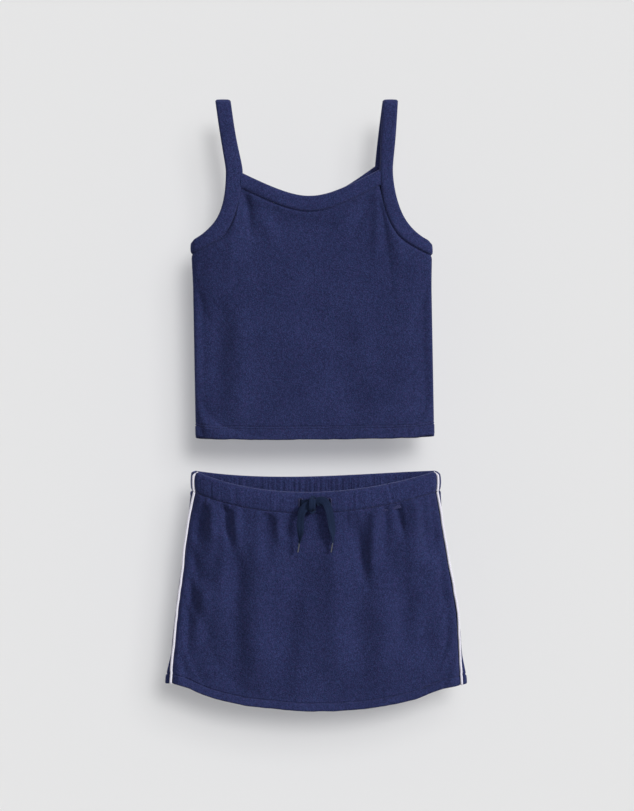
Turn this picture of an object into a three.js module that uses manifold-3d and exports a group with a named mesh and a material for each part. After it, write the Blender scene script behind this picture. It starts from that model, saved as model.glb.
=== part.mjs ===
// A two-piece cheer uniform in terry cloth, as it hangs from the wearer's shoulders and waist: a camisole top with
// banded neck, armholes and straps, and an A-line skirt with an elastic drawstring waistband and piped side seams.
// Millimetres. +X is the wearer's left, -Y the front, +Z up. z = 0 is where the straps fold over the shoulders, and
// x = 0 is the middle of both hems. Each garment is a flattened tube of cloth, nearly flat behind and arched in front.
import * as THREE from "three";
import { mergeVertices } from "three/addons/utils/BufferGeometryUtils.js";
import Module from "manifold-3d";

const wasm = await Module();
wasm.setup();

// Driving dimensions.
const clearance = 0.3; // between pieces that touch
const cloth = 2.2; // terry, with its pile
const backPlane = 10; // y of the outer face of both backs

const top = {
  halfWidth: 168.6,
  length: 472, // strap fold to hem
  frontDepth: 16, // the front's arch over the side seams
  neckDepth: 5, // the same at the straps, where front and back hang close together
  backDepth: 8,
  hem: 19,
  skew: 0.018, // sideways drift of the hanging cloth for each millimetre above the hem
};
const strap = { drop: 98.5, width: 21.5, thickness: 4, swingRoom: 3.6, lean: { left: 0.063, right: 0.156 } };
const band = { neckWidth: 22, armWidth: 20.5, thickness: 4, proud: 0.8 };
const neck = { halfWidth: 95.8, frontDrop: 34, backDrop: 34 }; // drops are below the strap foot
const armhole = { drop: 101 }; // strap foot to underarm

const skirt = {
  waistDrop: top.length + 46, // strap fold to the waist at the side seams
  waistHalfWidth: top.halfWidth + 5,
  flare: 34.6, // added to the half-width at the hem
  sideLength: 298,
  frontDepth: 30,
  hemFrontDepth: 26,
  backDepth: 12,
  frontDip: 28, // how far the middle of the front waist hangs below the side seams
  backDip: 8,
  hemDip: 38,
  hem: 11,
};
const waistband = { height: 28, channel: 4.6 };
const elastic = { width: 22, thickness: 1.2 };
const tape = { width: 10, thickness: 1.2, outside: 1.6 }; // the drawstring, thicker where it isn't pressed flat
const buttonhole = { x: 20, drop: waistband.height + 15.5, height: tape.width + 1, slot: 2.4, rim: 1.6, proud: 0.8 };
const piping = { radius: 1.9, core: 1.1, angle: 15 }; // angle round the front arch, from the side
const seam = { thickness: 1.4, angle: 7, width: 8 }; // overlocked seam allowances inside
const knot = { x: -3, halfWidth: 6.5, halfDepth: 4.2, halfHeight: 9.5 };
const tail = { x: 20.5, drop: 6.5, length: 52, taper: 15, tipWidth: 3.4, drift: 3.5, layer: 2.4 };
const aglet = { radius: 1.8, length: 14 };

// Smoothness of the curved pieces.
const angleStep = 7.5;
const rows = 8;
const archPower = 2.6; // superellipse of the front
const backPower = 5; // and of the back, which is flat but for its rounded sides
const backFill = 1.06; // how far the back's curve overshoots the flat

const rad = THREE.MathUtils.degToRad;
const smooth = (t) => THREE.MathUtils.smoothstep(t, 0, 1);

// Materials.
const matte = (color, roughness = 0.95) => new THREE.MeshStandardMaterial({ color, roughness, metalness: 0 });
const terry = matte(0x2c3160);
const bandTerry = matte(0x2e3364);
const whitePiping = matte(0xece9f6, 0.7);
const navyTape = matte(0x1c2c46, 0.8);
const innerCord = matte(0xd8d6d0);
const elasticWeb = matte(0xe4e2dc, 0.85);
const thread = matte(0x34386a, 0.75);
const metal = new THREE.MeshStandardMaterial({ color: 0x9a9ca6, roughness: 0.35, metalness: 1 });

// Solids and booleans.
const solidOf = (geometry) => {
  const bare = geometry.index ? geometry.toNonIndexed() : geometry.clone();
  bare.deleteAttribute("normal");
  bare.deleteAttribute("uv");
  const merged = mergeVertices(bare, 1e-4);
  return new wasm.Manifold(
    new wasm.Mesh({
      numProp: 3,
      vertProperties: merged.attributes.position.array,
      triVerts: new Uint32Array(merged.index.array),
    }),
  );
};
const geometryOf = (solid) => {
  const mesh = solid.getMesh();
  return new THREE.BufferGeometry()
    .setAttribute("position", new THREE.BufferAttribute(new Float32Array(mesh.vertProperties), 3))
    .setIndex(new THREE.BufferAttribute(new Uint32Array(mesh.triVerts), 1));
};
const common = (a, b) => geometryOf(solidOf(a).intersect(solidOf(b)));
const without = (a, b) => geometryOf(solidOf(a).subtract(solidOf(b)));

// The outline of a garment seen from above, as a point for an angle: 0 is the wearer's left side, 90 the middle of
// the front, 180 the right side and 270 the middle of the back. size gives the half-width and the two depths.
function corner(angle, size) {
  const c = Math.cos(rad(angle));
  const s = Math.sin(rad(angle));
  const power = 2 / (s >= 0 ? archPower : backPower);
  const depth = s >= 0 ? -size.front * s ** power : size.back * Math.min(1, backFill * (-s) ** power);
  return [Math.sign(c) * size.halfWidth * Math.abs(c) ** power, size.seamY + depth];
}
// Every layer shares the same facets, so layers lie parallel.
function around(angle, size) {
  const before = Math.floor(angle / angleStep + 1e-9) * angleStep;
  const t = (angle - before) / angleStep;
  const [x0, y0] = corner(before, size);
  const [x1, y1] = corner(before + angleStep, size);
  return [x0 + (x1 - x0) * t, y0 + (y1 - y0) * t];
}

// A curved layer of cloth: the garment's outline from one angle to another, between a bottom edge and a top edge that
// may vary round the garment, inset from the outer surface and with a thickness.
function layer({ from, to, edges, sizeAt, inset = 0, thickness, levels = rows }) {
  const ring = to - from >= 360;
  const angles = ring ? [] : [from];
  for (let a = Math.ceil(from / angleStep) * angleStep; a < to; a += angleStep) if (a > from || ring) angles.push(a);
  if (!ring) angles.push(to);
  const columns = angles.length;
  const spans = ring ? columns : columns - 1;
  const position = [];
  const index = [];
  for (const depth of [inset, inset + thickness]) {
    for (const angle of angles) {
      const [bottom, up] = edges(angle);
      for (let j = 0; j <= levels; j += 1) {
        const z = bottom + ((up - bottom) * j) / levels;
        const size = sizeAt(z);
        const [x, y] = around(angle, {
          halfWidth: size.halfWidth - depth,
          front: size.front - depth,
          back: size.back - depth,
          seamY: size.seamY,
        });
        position.push(x, y, z);
      }
    }
  }
  const at = (side, i, j) => (side * columns + (i % columns)) * (levels + 1) + j;
  const quad = (a, b, c, d) => index.push(a, b, c, a, c, d);
  for (let i = 0; i < spans; i += 1) {
    for (let j = 0; j < levels; j += 1) {
      quad(at(0, i, j), at(0, i, j + 1), at(0, i + 1, j + 1), at(0, i + 1, j));
      quad(at(1, i, j), at(1, i + 1, j), at(1, i + 1, j + 1), at(1, i, j + 1));
    }
    quad(at(0, i, 0), at(0, i + 1, 0), at(1, i + 1, 0), at(1, i, 0));
    quad(at(0, i, levels), at(1, i, levels), at(1, i + 1, levels), at(0, i + 1, levels));
  }
  for (let j = 0; j < levels && !ring; j += 1) {
    quad(at(0, 0, j), at(1, 0, j), at(1, 0, j + 1), at(0, 0, j + 1));
    quad(at(0, spans, j), at(0, spans, j + 1), at(1, spans, j + 1), at(1, spans, j));
  }
  return new THREE.BufferGeometry()
    .setAttribute("position", new THREE.Float32BufferAttribute(position, 3))
    .setIndex(index);
}

// An outline drawn in x and z, made solid from front to back.
function slab(points, yFrom, yTo) {
  const outline = THREE.ShapeUtils.isClockWise(points) ? [...points].reverse() : points;
  return new THREE.ExtrudeGeometry(new THREE.Shape(outline), { depth: yTo - yFrom, bevelEnabled: false })
    .rotateX(Math.PI / 2)
    .translate(0, yTo, 0);
}
const throughAll = (points) => slab(points, -90, 60);
const point = (x, z) => new THREE.Vector2(x, z);
const mirrored = (points) => points.map((p) => point(-p.x, p.y)).reverse();

// The same line again, moved sideways by a distance, to the left of the way it runs.
function beside(line, distance) {
  return line.map((p, i) => {
    const along = line[Math.min(i + 1, line.length - 1)].clone().sub(line[Math.max(i - 1, 0)]).normalize();
    const far = typeof distance === "function" ? distance(i / (line.length - 1)) : distance;
    return point(p.x - along.y * far, p.y + along.x * far);
  });
}

const group = new THREE.Group();
function add(name, geometry, material, skew = 0) {
  if (skew) geometry.applyMatrix4(new THREE.Matrix4().makeShear(0, 0, 0, 0, -skew, 0));
  const mesh = new THREE.Mesh(geometry, material);
  mesh.name = name;
  group.add(mesh);
  return mesh;
}

// ---- The top ----
const topHem = -top.length;
const strapFoot = -strap.drop;
const bodyTop = strapFoot - strap.swingRoom; // the body swings under the straps, so it stops short of them
const topSeamY = backPlane - top.backDepth;
const fullDepthAt = strapFoot - armhole.drop - band.armWidth;
const topSize = (z) => ({
  halfWidth: top.halfWidth,
  front: top.neckDepth + (top.frontDepth - top.neckDepth) * smooth((strapFoot - z) / (strapFoot - fullDepthAt)),
  back: top.backDepth,
  seamY: topSeamY,
});
// Everything on the top leans with the skew, measured from the hem.
const addTop = (name, geometry, material) => {
  geometry.translate(0, 0, -topHem);
  const mesh = add(name, geometry, material, top.skew);
  mesh.position.z = topHem;
  return mesh;
};

// The free edge of the armhole on the wearer's left, from the strap's outer edge to the side seam.
const strapOuter = neck.halfWidth + strap.width;
const underarm = strapFoot - armhole.drop;
const armholeEdge = new THREE.CubicBezierCurve(
  point(strapOuter, strapFoot),
  point(strapOuter + 1, strapFoot - 0.49 * armhole.drop),
  point(strapOuter + 0.28 * (top.halfWidth - strapOuter), strapFoot - 0.86 * armhole.drop),
  point(top.halfWidth + 2, underarm),
).getPoints(12);
// The free edge of a neckline, from the wearer's right strap to the left one.
const neckEdge = (drop) => {
  const half = neck.halfWidth;
  const line = [-1, -0.52, -0.26, 0, 0.26, 0.52, 1].map((t) =>
    point(t * half, strapFoot - drop * (1 - Math.abs(t) ** 1.6)),
  );
  return new THREE.SplineCurve(line).getPoints(18);
};
const armholeInner = beside(armholeEdge, -band.armWidth);
armholeInner[0].x = neck.halfWidth;
armholeInner.push(point(top.halfWidth + 30, armholeInner.at(-1).y));
const sky = 40; // above everything

function topHalf(side) {
  const front = side === "front";
  const [from, to] = front ? [0.4, 179.6] : [180.4, 359.6];
  const edgesTo = (up, down = topHem) => () => [down, up];
  const shell = (settings) =>
    layer({ from, to, sizeAt: topSize, edges: edgesTo(bodyTop), ...settings });
  const neckLine = neckEdge(front ? neck.frontDrop : neck.backDrop);
  const neckInner = beside(neckLine, -band.neckWidth);
  const proud = front ? band.proud : 0;
  const bandShell = () => shell({ inset: -proud, thickness: band.thickness });

  // The panel is what lies below both bands.
  const belowNeck = [...beside(neckLine, -band.neckWidth - clearance)];
  belowNeck[0].x = -top.halfWidth - 40;
  belowNeck.at(-1).x = top.halfWidth + 40;
  const lowNeck = [...belowNeck, point(top.halfWidth + 40, topHem - 20), point(-top.halfWidth - 40, topHem - 20)];
  const insideArm = beside(armholeEdge, -band.armWidth - clearance);
  insideArm[0] = point(neck.halfWidth - clearance, strapFoot);
  insideArm.push(point(top.halfWidth + 30, insideArm.at(-1).y));
  const armCut = [...insideArm, point(top.halfWidth + 30, sky), point(neck.halfWidth - clearance, sky)];
  let panel = common(shell({ thickness: cloth }), throughAll(lowNeck));
  for (const cut of [armCut, mirrored(armCut)]) panel = without(panel, throughAll(cut));
  addTop(`top_${side}_panel`, panel, terry);

  // The neck band lies between the free edge and the panel, and stops at the armhole bands.
  const neckBandOutline = [...neckLine, ...[...neckInner].reverse()];
  neckBandOutline[0].x = -neck.halfWidth - 20;
  neckBandOutline[neckLine.length - 1].x = neck.halfWidth + 20;
  neckBandOutline[neckLine.length].x = neck.halfWidth + 20;
  neckBandOutline.at(-1).x = -neck.halfWidth - 20;
  let neckBand = common(bandShell(), throughAll(neckBandOutline));
  for (const cut of [armCut, mirrored(armCut)]) neckBand = without(neckBand, throughAll(cut));
  addTop(`${side}_neck_band`, neckBand, bandTerry);

  // The armhole bands.
  const outer = [...armholeEdge, point(top.halfWidth + 30, underarm)];
  const armBand = [...outer, ...[...armholeInner].reverse()];
  for (const [hand, outline] of [["left", armBand], ["right", mirrored(armBand)]]) {
    addTop(`${hand}_${side}_armhole_band`, common(bandShell(), throughAll(outline)), bandTerry);
  }

  // The hem turned up inside.
  addTop(
    `top_${side}_hem`,
    layer({
      from: from + seam.angle,
      to: to - seam.angle,
      sizeAt: topSize,
      edges: edgesTo(topHem + top.hem),
      inset: cloth + clearance,
      thickness: cloth,
      levels: 1,
    }),
    terry,
  );
}

function topSideSeams() {
  const low = armholeInner.at(-1).y - clearance;
  for (const [hand, middle] of [["left", 0], ["right", 180]]) {
    addTop(
      `${hand}_side_seam`,
      layer({
        from: middle - seam.angle,
        to: middle + seam.angle,
        sizeAt: topSize,
        edges: () => [topHem + top.hem + clearance, low],
        inset: cloth + clearance,
        thickness: seam.thickness,
        levels: 3,
      }),
      thread,
    );
  }
}

// A strap is one folded band: up the front, over the shoulder and down the back.
function straps() {
  const front = backPlane - 2 * strap.thickness - 5;
  const middle = (front + backPlane) / 2;
  const outer = (backPlane - front) / 2;
  const inner = outer - strap.thickness;
  const profile = new THREE.Shape();
  profile.moveTo(middle - outer, strapFoot);
  profile.lineTo(middle - inner, strapFoot);
  profile.lineTo(middle - inner, -outer);
  profile.absarc(middle, -outer, inner, Math.PI, 0, true);
  profile.lineTo(middle + inner, strapFoot);
  profile.lineTo(middle + outer, strapFoot);
  profile.lineTo(middle + outer, -outer);
  profile.absarc(middle, -outer, outer, 0, Math.PI, false);
  for (const [hand, side] of [["left", 1], ["right", -1]]) {
    const geometry = new THREE.ExtrudeGeometry(profile, {
      depth: strap.width,
      bevelEnabled: false,
      curveSegments: 10,
    });
    // The profile's x and y become y and z, and the extrusion runs along x.
    geometry.applyMatrix4(new THREE.Matrix4().makeBasis(
      new THREE.Vector3(0, 1, 0),
      new THREE.Vector3(0, 0, 1),
      new THREE.Vector3(1, 0, 0),
    ));
    geometry.translate(side > 0 ? neck.halfWidth : -strapOuter, 0, -strapFoot);
    geometry.applyMatrix4(new THREE.Matrix4().makeShear(0, 0, 0, 0, side * strap.lean[hand], 0));
    geometry.translate(0, 0, strapFoot);
    addTop(`${hand}_strap`, geometry, bandTerry);
  }
}

// ---- The skirt ----
const waistZ = -skirt.waistDrop;
const skirtHemZ = waistZ - skirt.sideLength;
const skirtSeamY = backPlane - skirt.backDepth;
const dip = (angle, front, back) => {
  const [x] = around(angle, { halfWidth: 1, front: 1, back: 1, seamY: 0 });
  return (Math.sin(rad(angle)) >= 0 ? front : back) * (1 - x * x);
};
const waistEdge = (angle) => waistZ - dip(angle, skirt.frontDip, skirt.backDip);
const waistSeam = (angle) => waistEdge(angle) - waistband.height;
const hemEdge = (angle) => skirtHemZ - dip(angle, skirt.hemDip, skirt.hemDip);
const skirtSize = (z) => {
  const down = THREE.MathUtils.clamp((waistZ - waistband.height - z) / (skirt.sideLength - waistband.height), 0, 1);
  return {
    halfWidth: skirt.waistHalfWidth + skirt.flare * (1 - (1 - down) ** 1.42),
    front: skirt.frontDepth + (skirt.hemFrontDepth - skirt.frontDepth) * down,
    back: skirt.backDepth,
    seamY: skirtSeamY,
  };
};
// The side seams lie on the front, at the piping. The back panel reaches round to them.
const narrowest = Math.min(
  ...[-angleStep, angleStep].map((turn) => {
    const [p, q] = [piping.angle, piping.angle + turn].map((a) => around(a, skirtSize(skirtHemZ)));
    return Math.hypot(p[0] - q[0], p[1] - q[1]) / angleStep;
  }),
);
const slotAngle = (piping.radius + 2 * clearance) / narrowest;
const frontRange = [piping.angle + slotAngle, 180 - piping.angle - slotAngle];
const backRange = [180 - piping.angle + slotAngle, 360 + piping.angle - slotAngle];

function skirtPanels() {
  for (const [side, [from, to]] of [["front", frontRange], ["back", backRange]]) {
    const shared = { sizeAt: skirtSize };
    add(
      `skirt_${side}_panel`,
      layer({ ...shared, from, to, edges: (a) => [hemEdge(a), waistSeam(a) - clearance], thickness: cloth }),
      terry,
    );
    add(
      `skirt_${side}_hem`,
      layer({
        ...shared,
        from: from + seam.angle,
        to: to - seam.angle,
        edges: (a) => [hemEdge(a), hemEdge(a) + skirt.hem],
        inset: cloth + clearance,
        thickness: cloth,
        levels: 1,
      }),
      terry,
    );
  }
}

const inside = Math.max(cloth, piping.radius) + clearance; // clear of the cloth and of the piping
const bandThickness = inside - clearance + waistband.channel + cloth;
const slotOutline = (x) => {
  const z = waistZ - buttonhole.drop;
  return [
    point(x - buttonhole.slot / 2, z - buttonhole.height / 2),
    point(x + buttonhole.slot / 2, z - buttonhole.height / 2),
    point(x + buttonhole.slot / 2, z + buttonhole.height / 2),
    point(x - buttonhole.slot / 2, z + buttonhole.height / 2),
  ];
};
const waistFront = skirtSeamY - skirt.frontDepth; // y of the middle of the front waistband

// Each half of the waistband is cloth folded over a channel, open below at the seam.
function waistbandHalves() {
  const channelTop = (a) => waistEdge(a) - cloth;
  for (const [side, [from, to]] of [["front", frontRange], ["back", backRange]]) {
    const shared = { sizeAt: skirtSize, levels: 1 };
    const folded = layer({ ...shared, from, to, edges: (a) => [waistSeam(a), waistEdge(a)], thickness: bandThickness });
    const channel = layer({
      ...shared,
      from: from - 3,
      to: to + 3,
      edges: (a) => [waistSeam(a) - 5, channelTop(a)],
      inset: cloth,
      thickness: bandThickness - 2 * cloth,
    });
    let half = without(folded, channel);
    if (side === "front") {
      for (const x of [-buttonhole.x, buttonhole.x]) {
        const reach = waistFront + cloth + waistband.channel / 2;
        half = without(half, slab(slotOutline(x), waistFront - 20, reach));
      }
    }
    add(`${side}_waistband`, half, bandTerry);
  }
}

// What runs inside the channel: the drawstring in front of the elastic, both right round the waist.
function waistInsides() {
  const middleOf = (a) => waistEdge(a) - cloth - (waistband.height - cloth) / 2;
  const strip = (width) => (a) => [middleOf(a) - width / 2, middleOf(a) + width / 2];
  const runInset = inside + clearance;
  add(
    "waist_elastic",
    layer({
      from: 0,
      to: 360,
      sizeAt: skirtSize,
      edges: strip(elastic.width),
      inset: runInset + tape.thickness + 2 * clearance,
      thickness: elastic.thickness,
      levels: 1,
    }),
    elasticWeb,
  );
  const holeAngle = THREE.MathUtils.radToDeg(
    Math.acos((buttonhole.x / skirt.waistHalfWidth) ** (archPower / 2)),
  );
  add(
    "drawstring_channel_run",
    layer({
      from: 180 - holeAngle,
      to: 360 + holeAngle,
      sizeAt: skirtSize,
      edges: strip(tape.width),
      inset: runInset,
      thickness: tape.thickness,
      levels: 1,
    }),
    navyTape,
  );
  add(
    "waist_seam_allowance",
    layer({
      from: 0,
      to: 360,
      sizeAt: skirtSize,
      edges: (a) => [waistSeam(a) - seam.width, waistSeam(a) - clearance],
      inset: inside,
      thickness: seam.thickness,
      levels: 1,
    }),
    thread,
  );
}

// The stitched rims of the two slots that the drawstring comes out of.
function buttonholes() {
  for (const [hand, side] of [["left", 1], ["right", -1]]) {
    const x = side * buttonhole.x;
    const halfWidth = buttonhole.slot / 2 + buttonhole.rim;
    const halfHeight = buttonhole.height / 2 + buttonhole.rim;
    const z = waistZ - buttonhole.drop;
    const rim = [
      point(x - halfWidth, z - halfHeight + halfWidth / 2),
      point(x - halfWidth / 2, z - halfHeight),
      point(x + halfWidth / 2, z - halfHeight),
      point(x + halfWidth, z - halfHeight + halfWidth / 2),
      point(x + halfWidth, z + halfHeight - halfWidth / 2),
      point(x + halfWidth / 2, z + halfHeight),
      point(x - halfWidth / 2, z + halfHeight),
      point(x - halfWidth, z + halfHeight - halfWidth / 2),
    ];
    const back = waistFront - clearance;
    const frame = slab(rim, back - buttonhole.proud, back);
    add(`${hand}_buttonhole`, without(frame, slab(slotOutline(x), back - 10, back + 10)), thread);
  }
}

// Piping stands in each side seam: a cover round a soft cord, once on the waistband and once down the skirt.
function pipings() {
  const circle = (radius) => {
    const shape = new THREE.Shape();
    shape.absarc(0, 0, radius, 0, 2 * Math.PI, false);
    return shape;
  };
  const tube = (path, radius, steps) =>
    new THREE.ExtrudeGeometry(circle(radius), { extrudePath: path, steps, curveSegments: 5, bevelEnabled: false });
  for (const [hand, angle] of [["left", piping.angle], ["right", 180 - piping.angle]]) {
    const pieces = {
      waistband: [waistEdge(angle), waistSeam(angle) + clearance],
      skirt: [waistSeam(angle) - clearance, hemEdge(angle)],
    };
    for (const [where, [high, low]] of Object.entries(pieces)) {
      const steps = where === "skirt" ? 10 : 2;
      const line = [];
      const inner = [];
      for (let i = 0; i <= steps; i += 1) {
        const z = high + ((low - high) * i) / steps;
        const past = i === 0 ? 1 : i === steps ? -1 : 0; // the bore runs out of both ends
        const [x, y] = around(angle, skirtSize(z));
        line.push(new THREE.Vector3(x, y, z));
        inner.push(new THREE.Vector3(x, y, z + past));
      }
      const cover = tube(new THREE.CatmullRomCurve3(line), piping.radius, steps);
      const bore = tube(new THREE.CatmullRomCurve3(inner), piping.core + clearance, steps);
      add(`${hand}_${where}_piping`, without(cover, bore), whitePiping);
      add(`${hand}_${where}_piping_cord`, tube(new THREE.CatmullRomCurve3(line), piping.core, steps), innerCord);
    }
    add(
      `${hand}_skirt_seam_allowance`,
      layer({
        from: angle - seam.angle + 1,
        to: angle + seam.angle - 1,
        sizeAt: skirtSize,
        edges: (a) => [hemEdge(a) + skirt.hem + clearance, waistSeam(a) - seam.width - clearance],
        inset: inside,
        thickness: seam.thickness,
        levels: 5,
      }),
      thread,
    );
  }
}

// The drawstring outside. From each buttonhole a lead runs to the knot, and two tails hang from the knot, one before
// the other, each with an aglet.
function drawstring() {
  const rimFront = waistFront - clearance - buttonhole.proud;
  const leadBack = rimFront - clearance;
  const leadFront = leadBack - tape.outside;
  const holeZ = waistZ - buttonhole.drop;
  const runFront = waistFront + inside + clearance;
  const ball = new THREE.SphereGeometry(1, 16, 10).scale(knot.halfWidth, knot.halfDepth, knot.halfHeight);
  ball.translate(knot.x, leadBack - knot.halfDepth, holeZ - 2);
  add("drawstring_knot", ball, navyTape);

  for (const [hand, side, order] of [["left", 1, 0], ["right", -1, 1]]) {
    // The lead, seen from above, turns through the slot and is extruded up by the tape's width.
    const hole = side * buttonhole.x;
    const half = side * tape.thickness * 0.5;
    const start = knot.x + side * (knot.halfWidth + clearance);
    const lead = new THREE.Shape([
      point(start, leadFront),
      point(hole + half, leadFront),
      point(hole + half, runFront - clearance),
      point(hole - half, runFront - clearance),
      point(hole - half, leadBack),
      point(start, leadBack),
    ]);
    const leadGeometry = new THREE.ExtrudeGeometry(lead, { depth: tape.width, bevelEnabled: false });
    add(`${hand}_drawstring_lead`, leadGeometry.translate(0, 0, holeZ - tape.width / 2), navyTape);

    const x = side * tail.x;
    const z = holeZ - tail.drop;
    const back = leadFront - clearance - order * tail.layer;
    const line = new THREE.SplineCurve([
      point(x, z),
      point(x + side * 2, z - tail.length * 0.35),
      point(x + side * 3, z - tail.length * 0.7),
      point(x + side * tail.drift * 0.5, z - tail.length),
    ]).getPoints(10);
    const halfAt = (t) => {
      const near = THREE.MathUtils.clamp(((1 - t) * tail.length) / tail.taper, 0, 1);
      return (tail.tipWidth + (tape.width - tail.tipWidth) * smooth(near)) / 2;
    };
    const outline = [...beside(line, halfAt), ...beside(line, (t) => -halfAt(t)).reverse()];
    add(`${hand}_drawstring_tail`, slab(outline, back - tape.outside, back), navyTape);
    const r = aglet.radius;
    const sheath = new THREE.LatheGeometry(
      [point(0, 0), point(r, 0), point(r, 0.9 * aglet.length), point(0.6 * r, aglet.length), point(0, aglet.length)],
      12,
    ).rotateX(-Math.PI / 2);
    const end = line.at(-1);
    const along = end.clone().sub(line.at(-2)).normalize();
    const mesh = add(`${hand}_aglet`, sheath, metal);
    mesh.rotation.y = Math.atan2(-along.x, -along.y);
    mesh.position.set(end.x + along.x * clearance, back - tape.outside / 2, end.y + along.y * clearance);
  }
}

topHalf("front");
topHalf("back");
topSideSeams();
straps();
skirtPanels();
waistbandHalves();
waistInsides();
buttonholes();
pipings();
drawstring();

export default group;
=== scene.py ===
import math

import bpy
import numpy as np
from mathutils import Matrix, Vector


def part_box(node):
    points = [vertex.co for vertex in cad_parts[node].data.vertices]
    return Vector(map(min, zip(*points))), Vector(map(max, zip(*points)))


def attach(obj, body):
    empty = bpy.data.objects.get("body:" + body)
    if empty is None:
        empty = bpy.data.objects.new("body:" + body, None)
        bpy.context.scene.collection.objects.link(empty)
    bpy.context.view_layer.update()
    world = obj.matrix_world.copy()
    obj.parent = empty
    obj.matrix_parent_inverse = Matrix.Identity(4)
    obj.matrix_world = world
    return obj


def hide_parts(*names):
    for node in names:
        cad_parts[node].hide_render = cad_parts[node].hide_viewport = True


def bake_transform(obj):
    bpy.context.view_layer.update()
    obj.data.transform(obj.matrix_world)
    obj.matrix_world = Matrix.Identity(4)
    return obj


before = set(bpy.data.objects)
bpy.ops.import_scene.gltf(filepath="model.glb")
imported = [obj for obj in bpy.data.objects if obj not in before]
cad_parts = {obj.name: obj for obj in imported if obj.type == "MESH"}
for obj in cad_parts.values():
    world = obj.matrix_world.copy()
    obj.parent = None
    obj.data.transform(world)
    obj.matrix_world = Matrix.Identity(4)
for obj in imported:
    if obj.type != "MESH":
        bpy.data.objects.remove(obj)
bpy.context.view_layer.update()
scene = bpy.context.scene
MM = 0.001


def span(node):
    lo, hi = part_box(node)
    return np.array(lo) / MM, np.array(hi) / MM


# ---- Camera: level, square on, long lens ----
DISTANCE = 6.4
VIEW_WIDTH = 0.884
camera = bpy.data.objects.new("camera", bpy.data.cameras.new("camera"))
camera.data.sensor_fit = "HORIZONTAL"
camera.data.sensor_width = 36
camera.data.lens = 36 * DISTANCE / VIEW_WIDTH
camera.location = (0.0028, -DISTANCE - 0.016, -0.4263)
camera.rotation_euler = (math.pi / 2, 0, 0)
scene.collection.objects.link(camera)
scene.camera = camera

# ---- Places taken from the model ----
BACK = span("top_back_panel")[1][1]
HEM = span("top_front_panel")[0][2]
FOOT = span("left_strap")[0][2]
FOLD = span("left_strap")[1][2]
WAIST = span("back_waistband")[1][2]
SKIRT_LENGTH = 298  # at the sides
SKIRT_HEM = WAIST - SKIRT_LENGTH
HALF = 168.6  # half-width of the top
NECK = 95.8  # half-width of the neckline
STRAP = 21.5
ARM_BAND = 20.5
NECK_BAND = 22.0
UNDERARM = FOOT - 101
CLOTH = 2.2
TOP_SEAM_Y = BACK - 8
SKIRT_SEAM_Y = BACK - 12
WAIST_HALF = HALF + 5
TOP_HEM = 19.0
PIPING = 15  # degrees round the front, from the side
TIE_Z = WAIST - 43.5
TIE_Y = span("left_drawstring_lead")[0][1]  # front face of the tape where it lies on the waistband


def centre(node):
    lo, hi = span(node)
    return (lo + hi) / 2


def smooth(t):
    t = np.clip(t, 0, 1)
    return t * t * (3 - 2 * t)


def hump(away, width):
    return np.exp(-((away / width) ** 2))


def unit(v):
    return v / np.maximum(np.linalg.norm(v, axis=-1, keepdims=True), 1e-12)


def outline(angle, half, front, back, seam_y):
    """The garment seen from above: 0 degrees is the wearer's left, 90 the front, 270 the back."""
    c, s = np.cos(np.radians(angle)), np.sin(np.radians(angle))
    ahead = s >= 0
    power = np.where(ahead, 2 / 2.6, 2 / 5)
    depth = np.where(ahead, -front * np.abs(s) ** power, back * np.minimum(1, 1.06 * np.abs(s) ** power))
    return np.sign(c) * half * np.abs(c) ** power, seam_y + depth


def wander(n, scale, seed, octaves=3):
    """A smooth wandering number at each of the positions n, of about unit size."""
    dice = np.random.default_rng(seed)
    out = np.zeros_like(n, dtype=float)
    for k in range(octaves):
        for _ in range(3):
            pace = n * (2 ** k) * dice.uniform(0.6, 1.5) / scale
            out += np.sin(pace * 2 * math.pi + dice.uniform(0, 7)) / (3 * 1.7 ** k)
    return out


def wander2(x, z, scale, seed):
    """The same over a surface, in every direction."""
    dice = np.random.default_rng(seed)
    out = 0
    for _ in range(9):
        turn, pace = dice.uniform(0, math.pi), dice.uniform(0.6, 1.6)
        along = x * math.cos(turn) + z * math.sin(turn)
        out = out + np.sin(along * pace / scale * 2 * math.pi + dice.uniform(0, 7)) / 4
    return out


def ridge(x, z, start, end, width, height):
    """A soft fold from start to end, fading out at both ends; a negative height is a crease."""
    ax, az = end[0] - start[0], end[1] - start[1]
    length = math.hypot(ax, az)
    t = ((x - start[0]) * ax + (z - start[1]) * az) / length ** 2
    away = ((x - start[0]) * az - (z - start[1]) * ax) / length
    return height * hump(away, width) * smooth((t + 0.15) / 0.3) * smooth((1.15 - t) / 0.5)


# ---- Mesh making ----
def obj_from(name, verts, faces, material, shade=True):
    mesh = bpy.data.meshes.new(name)
    mesh.from_pydata((np.asarray(verts) * MM).tolist(), [], faces)
    mesh.update()
    mesh.polygons.foreach_set("use_smooth", [shade] * len(mesh.polygons))
    mesh.materials.append(material)
    piece = bpy.data.objects.new(name, mesh)
    scene.collection.objects.link(piece)
    return piece


def loft(name, loops, material, ring=False):
    """A closed skin over loops, an array (sections, points, 3). Each section's points pair off across it, the
    first with the last and so on, which is how quads close the two ends."""
    loops = np.asarray(loops, float)
    n, k = loops.shape[:2]
    i = np.arange(n if ring else n - 1)[:, None]
    j = np.arange(k)[None, :]
    i2, j2 = (i + 1) % n, (j + 1) % k
    faces = np.stack([i * k + j, i2 * k + j, i2 * k + j2, i * k + j2], -1).reshape(-1, 4)
    if not ring:
        h = np.arange(k // 2 - 1)
        first = np.stack([h, h + 1, k - 2 - h, k - 1 - h], -1)
        last = first[:, ::-1] + (n - 1) * k
        faces = np.vstack([faces, first, last])
    verts = loops.reshape(-1, 3)
    a, b, c, d = (verts[faces[:, m]] for m in range(4))
    volume = sum(np.einsum("ij,ij->i", a, np.cross(p, q)).sum() for p, q in ((b, c), (c, d)))
    if volume < 0:
        faces = faces[:, ::-1]
    return obj_from(name, verts, faces.tolist(), material)


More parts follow.
